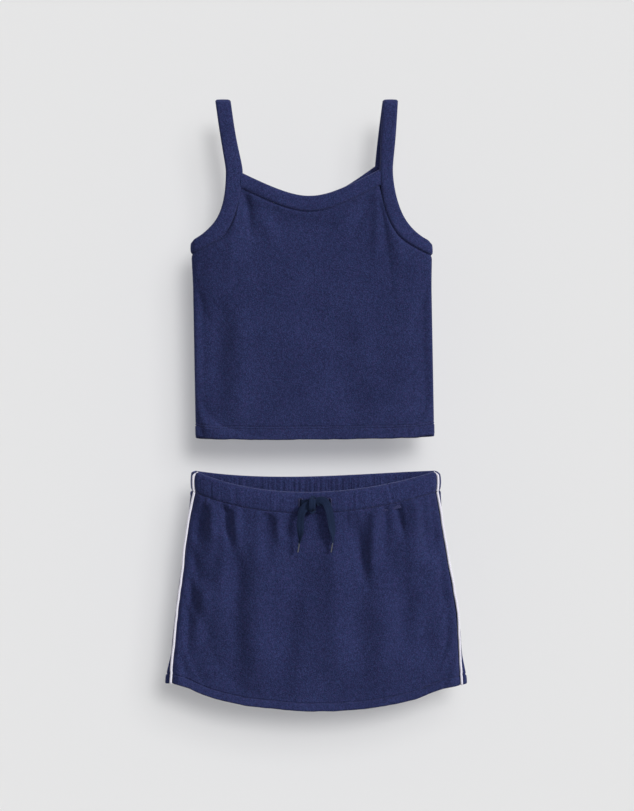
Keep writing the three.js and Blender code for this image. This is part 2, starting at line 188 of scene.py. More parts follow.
def grid_normals(grid):
    du = np.gradient(grid, axis=0)
    dv = np.gradient(grid, axis=1)
    return unit(np.cross(du, dv))


def facing(normals, grid, centre):
    """Normals turned to point away from a point in the middle of the garment."""
    away = np.sign(np.sum(normals * (grid - centre), axis=-1, keepdims=True))
    return normals * np.where(away == 0, 1, away)


def panel(name, outer, normals, material, inset, rounding):
    """A cloth panel from its outer face (columns, rows, 3), rows going down. inset is the thickness at each
    point, and rounding how much of it is left there, from 1 to nearly 0 at the edges."""
    half = (inset * rounding / 2)[..., None]
    middle = outer - normals * (inset / 2)[..., None]
    loops = np.concatenate([middle + normals * half, (middle - normals * half)[:, ::-1]], axis=1)
    return loft(name, loops, material)


def sections(path, across, outward, width, thickness, points=20, flat=3.0, ribs=0.0):
    """Loops of a rounded flat section along a path. across and outward are unit vectors at each point.
    ribs is how deep the ribs are that run along it."""
    a = np.linspace(0, 2 * math.pi, points, endpoint=False) + math.pi / points
    ca, sa = np.cos(a), np.sin(a)
    u = np.sign(ca) * np.abs(ca) ** (2 / flat)
    v = np.sign(sa) * np.abs(sa) ** (2 / flat) * (1 - ribs + ribs * np.cos(u * 4 * math.pi))
    width, thickness = (np.broadcast_to(np.asarray(w, float), len(path)) for w in (width, thickness))
    return (
        path[:, None]
        + across[:, None] * (u[None, :, None] * width[:, None, None] / 2)
        + outward[:, None] * (v[None, :, None] * thickness[:, None, None] / 2)
    )


def spline(points, count):
    """A smooth line through points, evenly spaced."""
    p = np.asarray(points, float)
    q = np.vstack([2 * p[0] - p[1], p, 2 * p[-1] - p[-2]])
    out = []
    for i in range(1, len(q) - 2):
        t = np.linspace(0, 1, 24, endpoint=False)[:, None]
        a, b, c, d = q[i - 1], q[i], q[i + 1], q[i + 2]
        bend, twist = 2 * a - 5 * b + 4 * c - d, 3 * b - a - 3 * c + d
        out.append(0.5 * (2 * b + (c - a) * t + bend * t ** 2 + twist * t ** 3))
    line = np.vstack(out + [q[-2][None]])
    return even(line, count)


def travelled(line):
    """How far each point lies along a line."""
    return np.concatenate([[0], np.cumsum(np.linalg.norm(np.diff(line, axis=0), axis=1))])


def even(line, count):
    s = travelled(line)
    t = np.linspace(0, s[-1], count)
    return np.stack([np.interp(t, s, line[:, m]) for m in range(line.shape[1])], -1)


def tangents(path, ring=False):
    if ring:
        return unit(np.roll(path, -1, axis=0) - np.roll(path, 1, axis=0))
    return unit(np.gradient(path, axis=0))


def thread_faces(base, rings, sides=6):
    """The skin of a thread: rings of points, closed at both ends."""
    last = base + (rings - 1) * sides
    faces = []
    for ring in range(base, last, sides):
        for k in range(sides):
            k2 = (k + 1) % sides
            faces.append([ring + k, ring + k2, ring + sides + k2, ring + sides + k])
    return faces + [list(range(base + sides - 1, base - 1, -1)), list(range(last, last + sides))]


def point_at(at, s, line):
    return np.array([np.interp(at, s, line[:, m]) for m in range(3)])


def stitches(name, lines, material, pitch=3.2, length=2.3, radius=0.28):
    """Running stitches: lines is a list of (points, outward normals) that the thread follows."""
    verts, faces = [], []
    for path, out in lines:
        s = travelled(path)
        for at in np.arange(pitch / 2, s[-1] - length / 2, pitch):
            ends = [point_at(at + reach, s, path) for reach in (-length / 2, 0, length / 2)]
            normal = unit(point_at(at, s, out))
            side = np.cross(unit(ends[2] - ends[0]), normal)
            base = len(verts)
            for point, swell, lift in zip(ends, (0.45, 1, 0.45), (-0.1, 0.12, -0.1)):
                for k in range(6):
                    a = k * math.pi / 3
                    up, over = lift + radius * swell * math.cos(a), radius * swell * math.sin(a)
                    verts.append(point + normal * up + side * over)
            faces += thread_faces(base, 3)
    piece = obj_from(name, verts, faces, material)
    bpy.context.view_layer.update()
    return piece


# ---- Materials ----
def material(name, base, rough):
    mat = bpy.data.materials.new(name)
    mat.use_nodes = True
    shader = mat.node_tree.nodes["Principled BSDF"]
    shader.inputs["Base Color"].default_value = (*base, 1)
    shader.inputs["Roughness"].default_value = rough
    return mat, mat.node_tree, shader


def recolour(name, mat):
    """Gives a solid kept from the model its material."""
    materials = bpy.data.objects[name].data.materials
    materials.clear()
    materials.append(mat)


def node(tree, kind, links=None, **values):
    made = tree.nodes.new(kind)
    for key, value in values.items():
        if key in made.inputs:
            made.inputs[key].default_value = value
        else:
            setattr(made, key, value)
    for socket, source in (links or {}).items():
        tree.links.new(source, made.inputs[socket])
    return made


def noise(tree, where, scale, detail=2.0, roughness=0.5):
    made = node(tree, "ShaderNodeTexNoise", {"Vector": where})
    made.inputs["Scale"].default_value = scale
    made.inputs["Detail"].default_value = detail
    made.inputs["Roughness"].default_value = roughness
    return made.outputs["Fac"]


def ramp(tree, source, stops):
    made = node(tree, "ShaderNodeValToRGB", {"Fac": source})
    elements = made.color_ramp.elements
    while len(elements) < len(stops):
        elements.new(0.5)
    for element, (at, colour) in zip(elements, stops):
        element.position = at
        element.color = (*colour, 1)
    return made.outputs["Color"]


def multiplied(tree, a, b):
    made = node(tree, "ShaderNodeMix", data_type="RGBA", blend_type="MULTIPLY")
    made.inputs[0].default_value = 1.0
    tree.links.new(a, made.inputs[6])
    tree.links.new(b, made.inputs[7])
    return made.outputs[2]


def bump(tree, shader, layers):
    """Bumps laid over each other: (height, strength, depth in metres)."""
    normal = None
    for height, strength, depth in layers:
        made = node(tree, "ShaderNodeBump", {"Height": height})
        made.inputs["Strength"].default_value = strength
        made.inputs["Distance"].default_value = depth
        if normal is not None:
            tree.links.new(normal, made.inputs["Normal"])
        normal = made.outputs["Normal"]
    tree.links.new(normal, shader.inputs["Normal"])


def terry(name, tint=1.0, pile=1.0):
    """Navy towelling: a pile of short loops, each a slightly different navy, some of them violet."""
    mat, tree, shader = material(name, (0.02, 0.026, 0.09), 0.92)
    where = node(tree, "ShaderNodeTexCoord").outputs["Object"]
    loop = node(tree, "ShaderNodeTexVoronoi", {"Vector": where})
    loop.inputs["Scale"].default_value = 900
    each = node(tree, "ShaderNodeSeparateColor", {"Color": loop.outputs["Color"]})
    fleck = noise(tree, where, 1150, 2, 0.6)
    clump = noise(tree, where, 230, 4, 0.65)
    cloud = noise(tree, where, 17, 3, 0.5)
    dark = tuple(c * tint for c in (0.0130, 0.0172, 0.0590))
    mid = tuple(c * tint for c in (0.0205, 0.0266, 0.0895))
    light = tuple(c * tint for c in (0.0325, 0.0405, 0.1250))
    loops = ramp(tree, each.outputs["Red"], [(0.0, dark), (0.5, mid), (1.0, light)])
    hues = [(0.0, (0.84, 1.05, 1.02)), (0.6, (1.0, 1.0, 1.0)), (1.0, (1.22, 0.91, 1.0))]
    hue = ramp(tree, each.outputs["Green"], hues)
    speck = ramp(tree, fleck, [(0.30, (0.77, 0.77, 0.79)), (0.70, (1.23, 1.23, 1.21))])
    worn = ramp(tree, clump, [(0.30, (0.91, 0.91, 0.92)), (0.5, (1, 1, 1)), (0.72, (1.09, 1.09, 1.08))])
    patch = ramp(tree, cloud, [(0.3, (0.90, 0.90, 0.92)), (0.7, (1.10, 1.10, 1.08))])
    colour = loops
    for layer in (hue, speck, worn, patch):
        colour = multiplied(tree, colour, layer)
    tree.links.new(colour, shader.inputs["Base Color"])
    shader.inputs["Sheen Weight"].default_value = 0.25
    shader.inputs["Sheen Roughness"].default_value = 0.45
    shader.inputs["Sheen Tint"].default_value = (0.42, 0.46, 0.86, 1)
    shader.inputs["Specular IOR Level"].default_value = 0.12
    tufts = (loop.outputs["Distance"], 0.55 * pile, 0.0007)
    bump(tree, shader, [(clump, 0.4 * pile, 0.0014), tufts, (fleck, 0.5, 0.0005)])
    return mat


def woven(name, base, pitch, tilt=0.0, contrast=0.3, rough=0.75, sheen=0.1, axis="Z", shine=0.25):
    """A close weave or braid: fine diagonal ribs with a little noise."""
    mat, tree, shader = material(name, base, rough)
    where = node(tree, "ShaderNodeTexCoord").outputs["Object"]
    turned = node(tree, "ShaderNodeMapping", {"Vector": where})
    turned.inputs["Rotation"].default_value = (0, tilt, 0)
    rib = node(tree, "ShaderNodeTexWave", {"Vector": turned.outputs["Vector"]}, bands_direction=axis)
    rib.inputs["Scale"].default_value = 0.314 / pitch
    rib.inputs["Distortion"].default_value = 1.2
    rib.inputs["Detail"].default_value = 2
    grain = noise(tree, where, 900, 3)
    low = tuple(c * (1 - contrast) for c in base)
    colour = ramp(tree, rib.outputs["Fac"], [(0.1, low), (0.6, base)])
    speck = ramp(tree, grain, [(0.3, (0.82, 0.82, 0.84)), (0.7, (1.12, 1.12, 1.12))])
    tree.links.new(multiplied(tree, colour, speck), shader.inputs["Base Color"])
    shader.inputs["Sheen Weight"].default_value = sheen
    shader.inputs["Specular IOR Level"].default_value = shine
    bump(tree, shader, [(rib.outputs["Fac"], 0.5, 0.0003), (grain, 0.4, 0.0003)])
    return mat


def dull_metal(name):
    mat, tree, shader = material(name, (0.12, 0.125, 0.15), 0.32)
    shader.inputs["Metallic"].default_value = 1
    scratch = noise(tree, node(tree, "ShaderNodeTexCoord").outputs["Object"], 1400, 3)
    greys = ramp(tree, scratch, [(0.3, (0.09, 0.095, 0.12)), (0.7, (0.15, 0.155, 0.18))])
    tree.links.new(greys, shader.inputs["Base Color"])
    bump(tree, shader, [(scratch, 0.15, 0.0001)])
    return mat


TERRY = terry("terry", 1.02)
BAND = terry("band_terry", 1.11, 0.8)
PIPE = woven("piping_twill", (0.86, 0.84, 0.93), 0.0009, 0.7, 0.12, 0.6, 0.05)
TAPE = woven("drawstring_tape", (0.0130, 0.0242, 0.0645), 0.0013, 0.35, 0.5, 0.8, 0.04, "X", 0.08)
ELASTIC = woven("woven_elastic", (0.72, 0.71, 0.67), 0.0016, 0.0, 0.3, 0.8)
THREAD = woven("stitch_thread", (0.032, 0.037, 0.125), 0.0006, 0.6, 0.3, 0.6)
OVERLOCK = woven("overlock_thread", (0.034, 0.04, 0.13), 0.0022, 0.9, 0.55, 0.8)
METAL = dull_metal("aglet_metal")


# ---- Cloth simulation ----
def drape(grid, pinned, grow, steps, bending):
    """Hangs a grid of cloth points, cut larger than its place by grow, from its pinned points. Returns
    how far each point moves, in mm."""
    n, m = grid.shape[:2]
    i, j = np.meshgrid(np.arange(n - 1), np.arange(m - 1), indexing="ij")
    faces = np.stack([i * m + j, (i + 1) * m + j, (i + 1) * m + j + 1, i * m + j + 1], -1).reshape(-1, 4)
    cloth = obj_from("draping_cloth", grid.reshape(-1, 3), faces.tolist(), TERRY)
    group = cloth.vertex_groups.new(name="pins")
    for index, hold in enumerate(pinned.reshape(-1)):
        if hold > 0:
            group.add([index], float(hold), "REPLACE")
    sim = cloth.modifiers.new("cloth", "CLOTH")
    s = sim.settings
    s.quality = 6
    s.mass = 0.35
    s.tension_stiffness = s.compression_stiffness = s.shear_stiffness = 15
    s.bending_stiffness = bending
    s.tension_damping = s.compression_damping = s.shear_damping = 15
    s.bending_damping = 2
    s.air_damping = 4
    s.vertex_group_mass = "pins"
    s.pin_stiffness = 20
    s.shrink_min = s.shrink_max = -grow
    sim.collision_settings.use_collision = False
    sim.point_cache.frame_start, sim.point_cache.frame_end = 1, steps
    for at in range(1, steps + 1):
        scene.frame_set(at)
    bpy.ops.object.select_all(action="DESELECT")
    bpy.context.view_layer.objects.active = cloth
    cloth.select_set(True)
    bpy.ops.object.modifier_apply(modifier="cloth")
    out = np.array([v.co for v in cloth.data.vertices]).reshape(n, m, 3) / MM
    scene.frame_set(1)
    bpy.data.objects.remove(cloth, do_unlink=True)
    return out - grid


def soften(field, times):
    for _ in range(times):
        for axis in (0, 1):
            pad = [(1, 1) if k == axis else (0, 0) for k in range(field.ndim)]
            f = np.pad(field, pad, mode="edge")
            lo, mid, hi = (np.take(f, range(s, s + field.shape[axis]), axis=axis) for s in (0, 1, 2))
            field = (lo + 2 * mid + hi) / 4
    return field


def resample(field, from_u, from_v, to_u, to_v):
    """A grid of points read at other columns and rows."""
    def one(layer):
        half = np.stack([np.interp(to_u, from_u, layer[:, k]) for k in range(layer.shape[1])], -1)
        return np.stack([np.interp(to_v, from_v, half[i]) for i in range(half.shape[0])])

    return np.stack([one(field[..., k]) for k in range(3)], -1)


def settle(grid, down, columns, hem_hold, grow, steps, bending, most):
    """How far cloth cut larger by grow moves from grid, held along its seams and less firmly along its hem.
    down is each row's place from seam to hem. No point moves more than most millimetres along an axis."""
    fu, fv = np.linspace(0, 1, len(grid)), np.clip(down, 0, 1)
    cu, cv = np.linspace(0, 1, columns), np.linspace(0, 1, 56)
    count = np.arange(len(down))
    coarse = resample(grid, fu, count, cu, np.interp(cv, fv, count))
    pins = np.zeros(coarse.shape[:2])
    pins[[0, -1], :] = 1
    pins[:, 0] = 1
    pins[:, -1] = hem_hold
    moved = drape(coarse, pins, grow, steps, bending)
    return resample(np.clip(soften(moved, 3), -most, most), cu, cv, fu, fv)


def read_rows(grid, rows):
    """One point from each column of grid, at that column's place in rows."""
    count = np.arange(grid.shape[1])
    return np.stack([[np.interp(r, count, grid[k, :, m]) for m in range(3)] for k, r in enumerate(rows)])


# ---- Soft folds of the fronts: start, end, width and height; a negative height is a crease ----
TOP_FOLDS = [
    ((90, -124), (30, -180), 10, 4.0), ((95, -126), (90, -222), 7, 3.4),
    ((84, -130), (56, -192), 6, -3.2), ((62, -138), (2, -198), 13, -2.2),
    ((-91, -124), (-84, -190), 5, -3.6), ((-78, -130), (-52, -206), 11, 3.0),
    ((-98, -144), (-113, -236), 10, 3.0), ((106, -158), (130, -248), 12, 2.8),
    ((-130, -280), (-135, -440), 15, -3.4), ((-104, -290), (-108, -455), 17, 2.4),
    ((44, -320), (56, -462), 20, -2.2), ((128, -260), (130, -430), 20, 2.2),
    ((-30, -250), (-36, -400), 26, 1.8), ((84, -250), (88, -380), 18, -1.6),
]
SKIRT_FOLDS = [
    ((-126, -558), (-118, -622), 6, -4.4), ((-145, -556), (-142, -620), 8, 3.6),
    ((-112, -560), (-103, -650), 8, 3.0), ((-53, -566), (-50, -620), 5, 3.2),
    ((-64, -570), (-67, -655), 8, -2.4), ((84, -560), (77, -672), 8, 4.6),
    ((113, -558), (123, -608), 5.5, -4.4), ((98, -560), (96, -650), 7, -2.8),
    ((143, -560), (133, -684), 11, 3.4), ((-112, -616), (-106, -810), 16, -4.2),
    ((-152, -680), (-170, -764), 10, 3.6), ((-66, -630), (-84, -836), 22, 4.4),
    ((-22, -650), (-48, -836), 15, -3.8), ((22, -630), (32, -806), 20, 3.4),
    ((56, -596), (78, -690), 9, -3.6), ((76, -656), (94, -836), 19, 3.6),
    ((134, -640), (116, -796), 15, -4.2), ((166, -630), (178, -784), 14, 3.2),
]


def closer_rows(seam, hem, count, length):
    """Rows of a panel from 0 at its seam to 1 at its hem, closer near both, then round the hem's fold."""
    middle = np.linspace(seam, 1 - hem, 80, endpoint=False)
    fold = 1 + np.array([0.6, 1.15, 1.6, 1.85]) / length
    start = np.linspace(0, seam, 7, endpoint=False)
    return np.concatenate([start, middle, np.linspace(1 - hem, 1, count), fold])


HEM_ROUNDING = [0.93, 0.8, 0.55, 0.2]  # how much of the thickness is left in the rows round a hem's fold


# ---- The top ----
def front_depth(z):
    return 5 + 11 * smooth((FOOT - z) / 121)


SKEW = 0.018


def lean(p):
    """The whole top drifts sideways a little on its way up."""
    p = np.array(p, float)
    p[..., 0] -= SKEW * (p[..., 2] - HEM)
    return p


def top_y(x, z, side):
    r = np.clip(np.abs(x) / HALF, 0, 1)
    if side == "front":
        return TOP_SEAM_Y - front_depth(z) * (1 - r ** 2.6) ** (1 / 2.6)
    return TOP_SEAM_Y + 8 * np.minimum(1, 1.06 * (1 - r ** 5) ** (1 / 5))


def neck_edge(x, side):
    """The scooped neckline, round in the middle and straighter towards the straps. It hangs a little lower on
    the wearer's right, and the back shows above the front on the left."""
    t = np.clip(np.abs(x) / NECK, 0, 1)
    rise = (np.hypot(t, 0.47) - 0.47) / (math.hypot(1, 0.47) - 0.47)
    ends, drop, tilt = (-0.3, 34.4, 2.0) if side == "front" else (4.0, 44.0, 6.5)
    return FOOT + ends - drop * (1 - rise) + tilt * x / NECK


OUTER = NECK + STRAP


def arm_edges(count):
    """The armhole's free edge and its seam edge, as x and z, from the strap's foot to the side seam."""
    p = np.array([
        (OUTER, FOOT), (OUTER + 1, FOOT - 49.5),
        (OUTER + 0.28 * (HALF - OUTER), FOOT - 87), (HALF + 2, UNDERARM),
    ])
    t = (1 - (1 - np.linspace(0, 1, count)) ** 1.6)[:, None] * 0.985
    line = (1 - t) ** 3 * p[0] + 3 * t * (1 - t) ** 2 * p[1] + 3 * t ** 2 * (1 - t) * p[2] + t ** 3 * p[3]
    along = unit(np.gradient(line, axis=0))
    inward = np.stack([along[:, 1], -along[:, 0]], -1)
    inner = line + inward * (STRAP + (ARM_BAND - STRAP) * smooth(t * 3))
    inner[:, 0] += (HALF - inner[-1, 0]) * smooth((t[:, 0] - 0.6) / 0.385)
    line[:, 0] += (HALF - line[-1, 0]) * smooth((t[:, 0] - 0.8) / 0.185)
    # The corner at the underarm is round.
    line[:, 1] -= 3.4 * np.clip((line[:, 0] - HALF + 8) / 8, 0, 1) ** 2.5
    inner[-1, 0] = line[-1, 0] = HALF
    return line, inner


ARM_FREE, ARM_SEAM = arm_edges(56)


def arm_lift(x):
    """The armholes end a little higher than they are cut, the wearer's right one most."""
    return np.where(x < 0, 3.4, 1.5) * smooth((np.abs(x) - OUTER - 2) / 26)


def panel_top(x, side):
    """How high the panel reaches at x: up to its seams with the bands."""
    ax = np.abs(x)
    order = np.argsort(ARM_SEAM[:, 0])
    arm = np.interp(ax, ARM_SEAM[order, 0], ARM_SEAM[order, 1])
    neck = neck_edge(x, side) - NECK_BAND
    corner = neck_edge(np.sign(x) * NECK, side) - NECK_BAND + 2
    return np.where(ax < NECK + 1, neck, np.minimum(arm, corner) + arm_lift(x))


def top_panel(side):
    front = side == "front"
    base = 0 if front else 180
    a = base + np.concatenate([[0.4, 1.2, 2.4, 4], np.linspace(6, 174, 150), [176, 177.6, 178.8, 179.6]])
    c = np.cos(np.radians(a))
    x0 = np.sign(c) * HALF * np.abs(c) ** (2 / 2.6 if front else 2 / 5)
    if not front:  # even columns across the flat back
        stops = [-HALF + 0.2, -HALF + 4, HALF - 4, HALF - 0.2]
        x0 = np.interp(np.linspace(0, 1, len(a)), [0, 0.03, 0.97, 1], stops)
    r = x0 / HALF
    hem = HEM - 1.5 + 1.3 * r - 0.7 * hump(r + 0.1, 0.45) + 5.2 * np.abs(r) ** 7 * (1 if front else 0.4)
    hem = hem + 0.45 * wander(x0, 62, 3)
    down = closer_rows(0.022, 26 / 330, 46, 330)
    high = panel_top(x0, side) + 2.0
    z = high[:, None] + (hem + 2 - high)[:, None] * down[None, :]
    x = np.repeat(x0[:, None], z.shape[1], axis=1)
    waisted = 1 - 0.0085 * smooth((UNDERARM - 8 - z) / 60)  # the sides draw in a little under the arms
    grid = np.stack([x * waisted, top_y(x, z, side), z], -1)
    centre = np.array([0, TOP_SEAM_Y - (2 if front else -2), 0]) * [1, 1, 0] + grid * [0.97, 0, 1]
    normals = facing(grid_normals(grid), grid, centre)
    out = np.sum(settle(grid, down, 64, 0.35, 0.010, 18, 7, 6) * normals, -1)
    edge = smooth((HALF - np.abs(x)) / 14) * smooth((high[:, None] - z) / 14)
    above = z - hem[:, None]
    out = np.clip(1.3 * out, -4.2, 4.2) * edge
    out += 1.1 * wander2(x, z, 130, 11 if front else 12) * edge + 0.22 * wander2(x, z, 34, 13) * edge
    if front:
        for start, end, width, height in TOP_FOLDS:
            out += ridge(x, z, start, end, width, height) * edge
    rows = (TOP_HEM - 0.6, TOP_HEM - 3.8)
    stitch = sum(hump(above - row, 0.9) for row in rows)
    out += 0.5 * smooth((TOP_HEM - above) / 3) - 0.9 * stitch
    out += 0.35 * smooth((TOP_HEM + 2 - above) / 6) * wander(x, 16, 5) * edge
    out -= 1.4 * hump(np.maximum(high[:, None] - 2 - z, 0), 2.6)
    out -= 0.4 * hump(HALF - np.abs(x), 1.6)
    outer = grid + normals * out[..., None]
    inset = CLOTH + 2.4 * smooth((TOP_HEM - above) / 0.8)
    rounding = np.ones_like(z)
    rounding[:, -4:] = HEM_ROUNDING
    rounding[:, 0] = 0.6
    made = panel(f"top_{side}", lean(outer), normals, TERRY, inset, rounding)
    lines = []
    for height in rows:
        at = [np.interp(-(h + height), -z[k], np.arange(z.shape[1])) for k, h in enumerate(hem)]
        out = read_rows(normals, at)[3:-3]
        lines.append((lean(read_rows(outer, at)[3:-3]) + out * 0.15, out))
    return made, lines


def crosswise(edge_a, edge_b, out, thick, dome, groove_at, points=13):
    """Loops across a band from one edge to the other: a slightly domed face, rounded edges, a flat inner side
    and a groove where its stitches draw it in."""
    s = np.linspace(0, 1, points)
    width = np.linalg.norm(edge_b - edge_a, axis=1)
    face = edge_a[:, None] * (1 - s[None, :, None]) + edge_b[:, None] * s[None, :, None]
    d = np.minimum(s, 1 - s)[None, :] * width[:, None]
    round_off = 1 - np.sqrt(np.clip(1 - (1 - np.clip(d / (thick * 0.5), 0, 1)) ** 2, 0, 1))
    lift = dome * np.sin(math.pi * s)[None, :] - round_off * thick * 0.45
    lift = lift - 0.6 * hump((s[None, :] - groove_at) * width[:, None], 0.9)
    top_side = face + out[:, None] * lift[..., None]
    under = face - out[:, None] * (thick - round_off * thick * 0.45)[..., None]
    return np.concatenate([top_side, under[:, ::-1]], axis=1)


def arm_band(hand):
    """One bound edge and strap: a single folded strip that runs from the underarm up the front, over the
    shoulder and down the back to the underarm again."""
    # slant and bow shape the strap, sway hangs its back inwards, and trim and ease move its foot's two edges.
    side, slant, bow, sway, trim, ease = {
        "left": (1, 0.080, 0.1, -7.0, -1.8, 1.2), "right": (-1, -0.152, -1.1, 0.0, 0.6, -1.5),
    }[hand]
    radius = 6.5
    free, seam = [], []

    def body(which, order):
        f, s = ARM_FREE[order], ARM_SEAM[order]
        for source, out, shift in ((f, free, trim), (s, seam, ease)):
            z = source[:, 1]
            foot = hump(z - FOOT, 40)
            x = (source[:, 0] + shift * foot) * side + (sway * foot if which == "back" else 0)
            z = z + arm_lift(x)
            y = top_y(x, z, which)
            out.append(lean(np.stack([x, y, z], -1)))

    down = np.arange(1, len(ARM_FREE) - 1)
    body("front", down[::-1])
    middle = (BACK - 3) / 2
    up = np.linspace(FOOT, FOLD - radius, 34)
    arc = np.linspace(math.pi, 0, 17)[1:-1]
    line = [(middle - radius, z) for z in up]
    line += [(middle + radius * math.cos(a), FOLD - radius + radius * math.sin(a)) for a in arc]
    line += [(middle + radius, z) for z in up[::-1]]
    line = np.array(line)
    height = line[:, 1] - FOOT
    shift = slant * height ** 2 / (height + 9) + bow * np.sin(height / 97 * math.pi)
    foot = hump(height, 34)
    behind = smooth((np.arange(len(line)) - len(up)) / len(arc)) * sway
    behind = behind * np.clip(1 - height / (FOLD - FOOT), 0, 1)
    for x0, out, ends in ((OUTER * side, free, trim), (NECK * side, seam, ease)):
        out.append(lean(np.stack([x0 + ends * foot * side + shift + behind, line[:, 0], line[:, 1]], -1)))
    body("back", down)
    high = arm_lift(HALF * side)
    end = lean(np.array([[HALF * side, TOP_SEAM_Y, ARM_FREE[-1, 1] + high]]))
    end2 = lean(np.array([[HALF * side, TOP_SEAM_Y, ARM_SEAM[-1, 1] + high]]))
    free, seam = np.vstack(free + [end]), np.vstack(seam + [end2])
    for _ in range(2):  # ease the meetings of the parts
        free[1:-1], seam[1:-1] = ((e[:-2] + 2 * e[1:-1] + e[2:]) / 4 for e in (free, seam))
    mid = (free + seam) / 2
    along = tangents(mid, ring=True)
    out = unit(np.cross(along, seam - free)) * side
    if out[len(down) // 2, 1] > 0:
        out = -out
    n = np.arange(len(mid))
    proud = 1.5 - 1.2 * smooth((np.abs(mid[:, 0] + SKEW * (mid[:, 2] - HEM)) - HALF + 7) / 7)
    free, seam = free + out * proud[:, None], seam + out * proud[:, None]
    free += out * (0.25 * wander(n, 21, 21 + side))[:, None]
    stitch_at = 0.91
    loops = crosswise(free, seam, out, 4.0, 0.55, stitch_at)
    made = loft(f"{hand}_strap_band", loops, BAND, ring=True)
    path = free * (1 - stitch_at) + seam * stitch_at - out * 0.1
    return made, [(path, out)]


def neck_band(side):
    front = side == "front"
    x = np.linspace(-NECK - 2.5, NECK + 2.5, 120)
    edge = neck_edge(x, side)
    low = edge - NECK_BAND
    free = lean(np.stack([x, top_y(x, edge, side), edge], -1))
    seam = lean(np.stack([x, top_y(x, low, side), low], -1))
    out = unit(np.cross(tangents((free + seam) / 2), seam - free))
    if (out[60, 1] > 0) == front:
        out = -out
    lift = out * (0.9 if front else 0.2)
    free, seam = free + lift, seam + lift
    free += out * (0.3 * wander(x, 60, 31 if front else 32))[:, None]
    loops = crosswise(free, seam, out, 3.8, 0.7, 0.93)
    made = loft(f"{side}_neck_binding", loops, BAND)
    path = (free * 0.07 + seam * 0.93 - out * 0.1)[4:-4]
    return made, [(path, out[4:-4])]


def across_foot(piece):
    """Bakes the place of cloth that runs from the straps into the body of the top into its mesh."""
    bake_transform(piece)


top_front, hem_front = top_panel("front")
top_back, hem_back = top_panel("back")
left_band, left_lines = arm_band("left")
right_band, right_lines = arm_band("right")
neck_front, neck_front_lines = neck_band("front")
neck_back, neck_back_lines = neck_band("back")
top_stitches = stitches("top_hem_stitching", hem_front + hem_back, THREAD)
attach(top_stitches, "top_body")
band_lines = left_lines + right_lines + neck_front_lines + neck_back_lines
band_stitches = stitches("band_stitching", band_lines, THREAD, 3.0, 2.1, 0.24)
for piece in (top_front, top_back, left_band, right_band, neck_front, neck_back, band_stitches):
    across_foot(piece)
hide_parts("top_front_panel", "top_front_hem")
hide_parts("top_back_panel", "top_back_hem")
for hand, piece in (("left", left_band), ("right", right_band)):
    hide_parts(f"{hand}_strap", f"{hand}_front_armhole_band", f"{hand}_back_armhole_band")
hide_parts("front_neck_band")
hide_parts("back_neck_band")
for name in ("left_side_seam", "right_side_seam"):
    recolour(name, OVERLOCK)

# ---- The skirt ----
BAND_HEIGHT = 28.0
SKIRT_DRIFT = 1.6  # the skirt hangs a little to the wearer's left of the top


def skirt_xy(angle, z, out=0.0):
    down = np.clip((WAIST - BAND_HEIGHT - z) / (SKIRT_LENGTH - BAND_HEIGHT), 0, 1)
    half = WAIST_HALF + 34.6 * (1 - (1 - down) ** 1.42)
    front = 30 - 4 * down
    x, y = outline(angle, half + out, front + out, 12 + out, SKIRT_SEAM_Y)
    # The side seams roll the back's edges in towards the piping, but at the hem they stand out.
    rolled = 0.5 * smooth((WAIST - BAND_HEIGHT - 4 - z) / 30) * smooth((z - SKIRT_HEM - 12) / 40)
    rolled = rolled - 0.35 * smooth((SKIRT_HEM + 42 - z) / 40)
    edge = (half + out) * math.cos(math.radians(PIPING)) ** (2 / 2.6)
    over = np.maximum(np.abs(x) - edge, 0)
    drawn_in, let_out = -2.8 * hump(down - 0.17, 0.15), 3.3 * hump(down - 0.62, 0.2)
    fuller = np.where(x < 0, drawn_in, let_out)
    return x - np.sign(x) * over * rolled + fuller * np.abs(x) / half + SKIRT_DRIFT, y


def fraction(angle):
    return outline(angle, 1.0, 1.0, 1.0, 0.0)[0]


def back_columns(gap, ends, corner, middle):
    """Angles round the back from seam to seam, close at both sides and even across the flat of it."""
    f = np.linspace(0.93, -0.93, middle)
    flat = 180 + np.degrees(np.arccos(np.sign(f) * np.abs(f) ** 2.5))
    side = np.linspace(180 - PIPING + gap, 184, ends)
    first = np.concatenate([side, np.linspace(185.5, flat[0] - 1.5, corner)])
    return np.concatenate([first, flat, 540 - first[::-1]])


def waist_edge(angle):
    f, ahead = fraction(angle), np.sin(np.radians(angle)) >= 0
    return WAIST + 0.8 * f ** 2 - (1 - f ** 2) * np.where(ahead, 28.5 - 4.5 * f, 7.2 * (1 - 0.7 * f))


def waist_seam(angle):
    """The seam under the waistband, which sags a little in the middle of the front."""
    f, ahead = fraction(angle), np.sin(np.radians(angle)) >= 0
    return waist_edge(angle) - BAND_HEIGHT - np.where(ahead, 1.8, 0.5) * (1 - f ** 2)


def hem_edge(angle):
    """A curved hem, lowest a little left of the middle, with flatter ends."""
    f = fraction(angle)
    u = np.clip((f - 0.02) / 0.99, -1, 1)
    lift = u ** 2 + 0.11 * hump(u - 0.82, 0.14) + 0.05 * hump(u + 0.90, 0.09)
    lift -= 0.045 * hump(u + 0.60, 0.16)
    return SKIRT_HEM + 0.9 - 37.5 * (1 - lift)


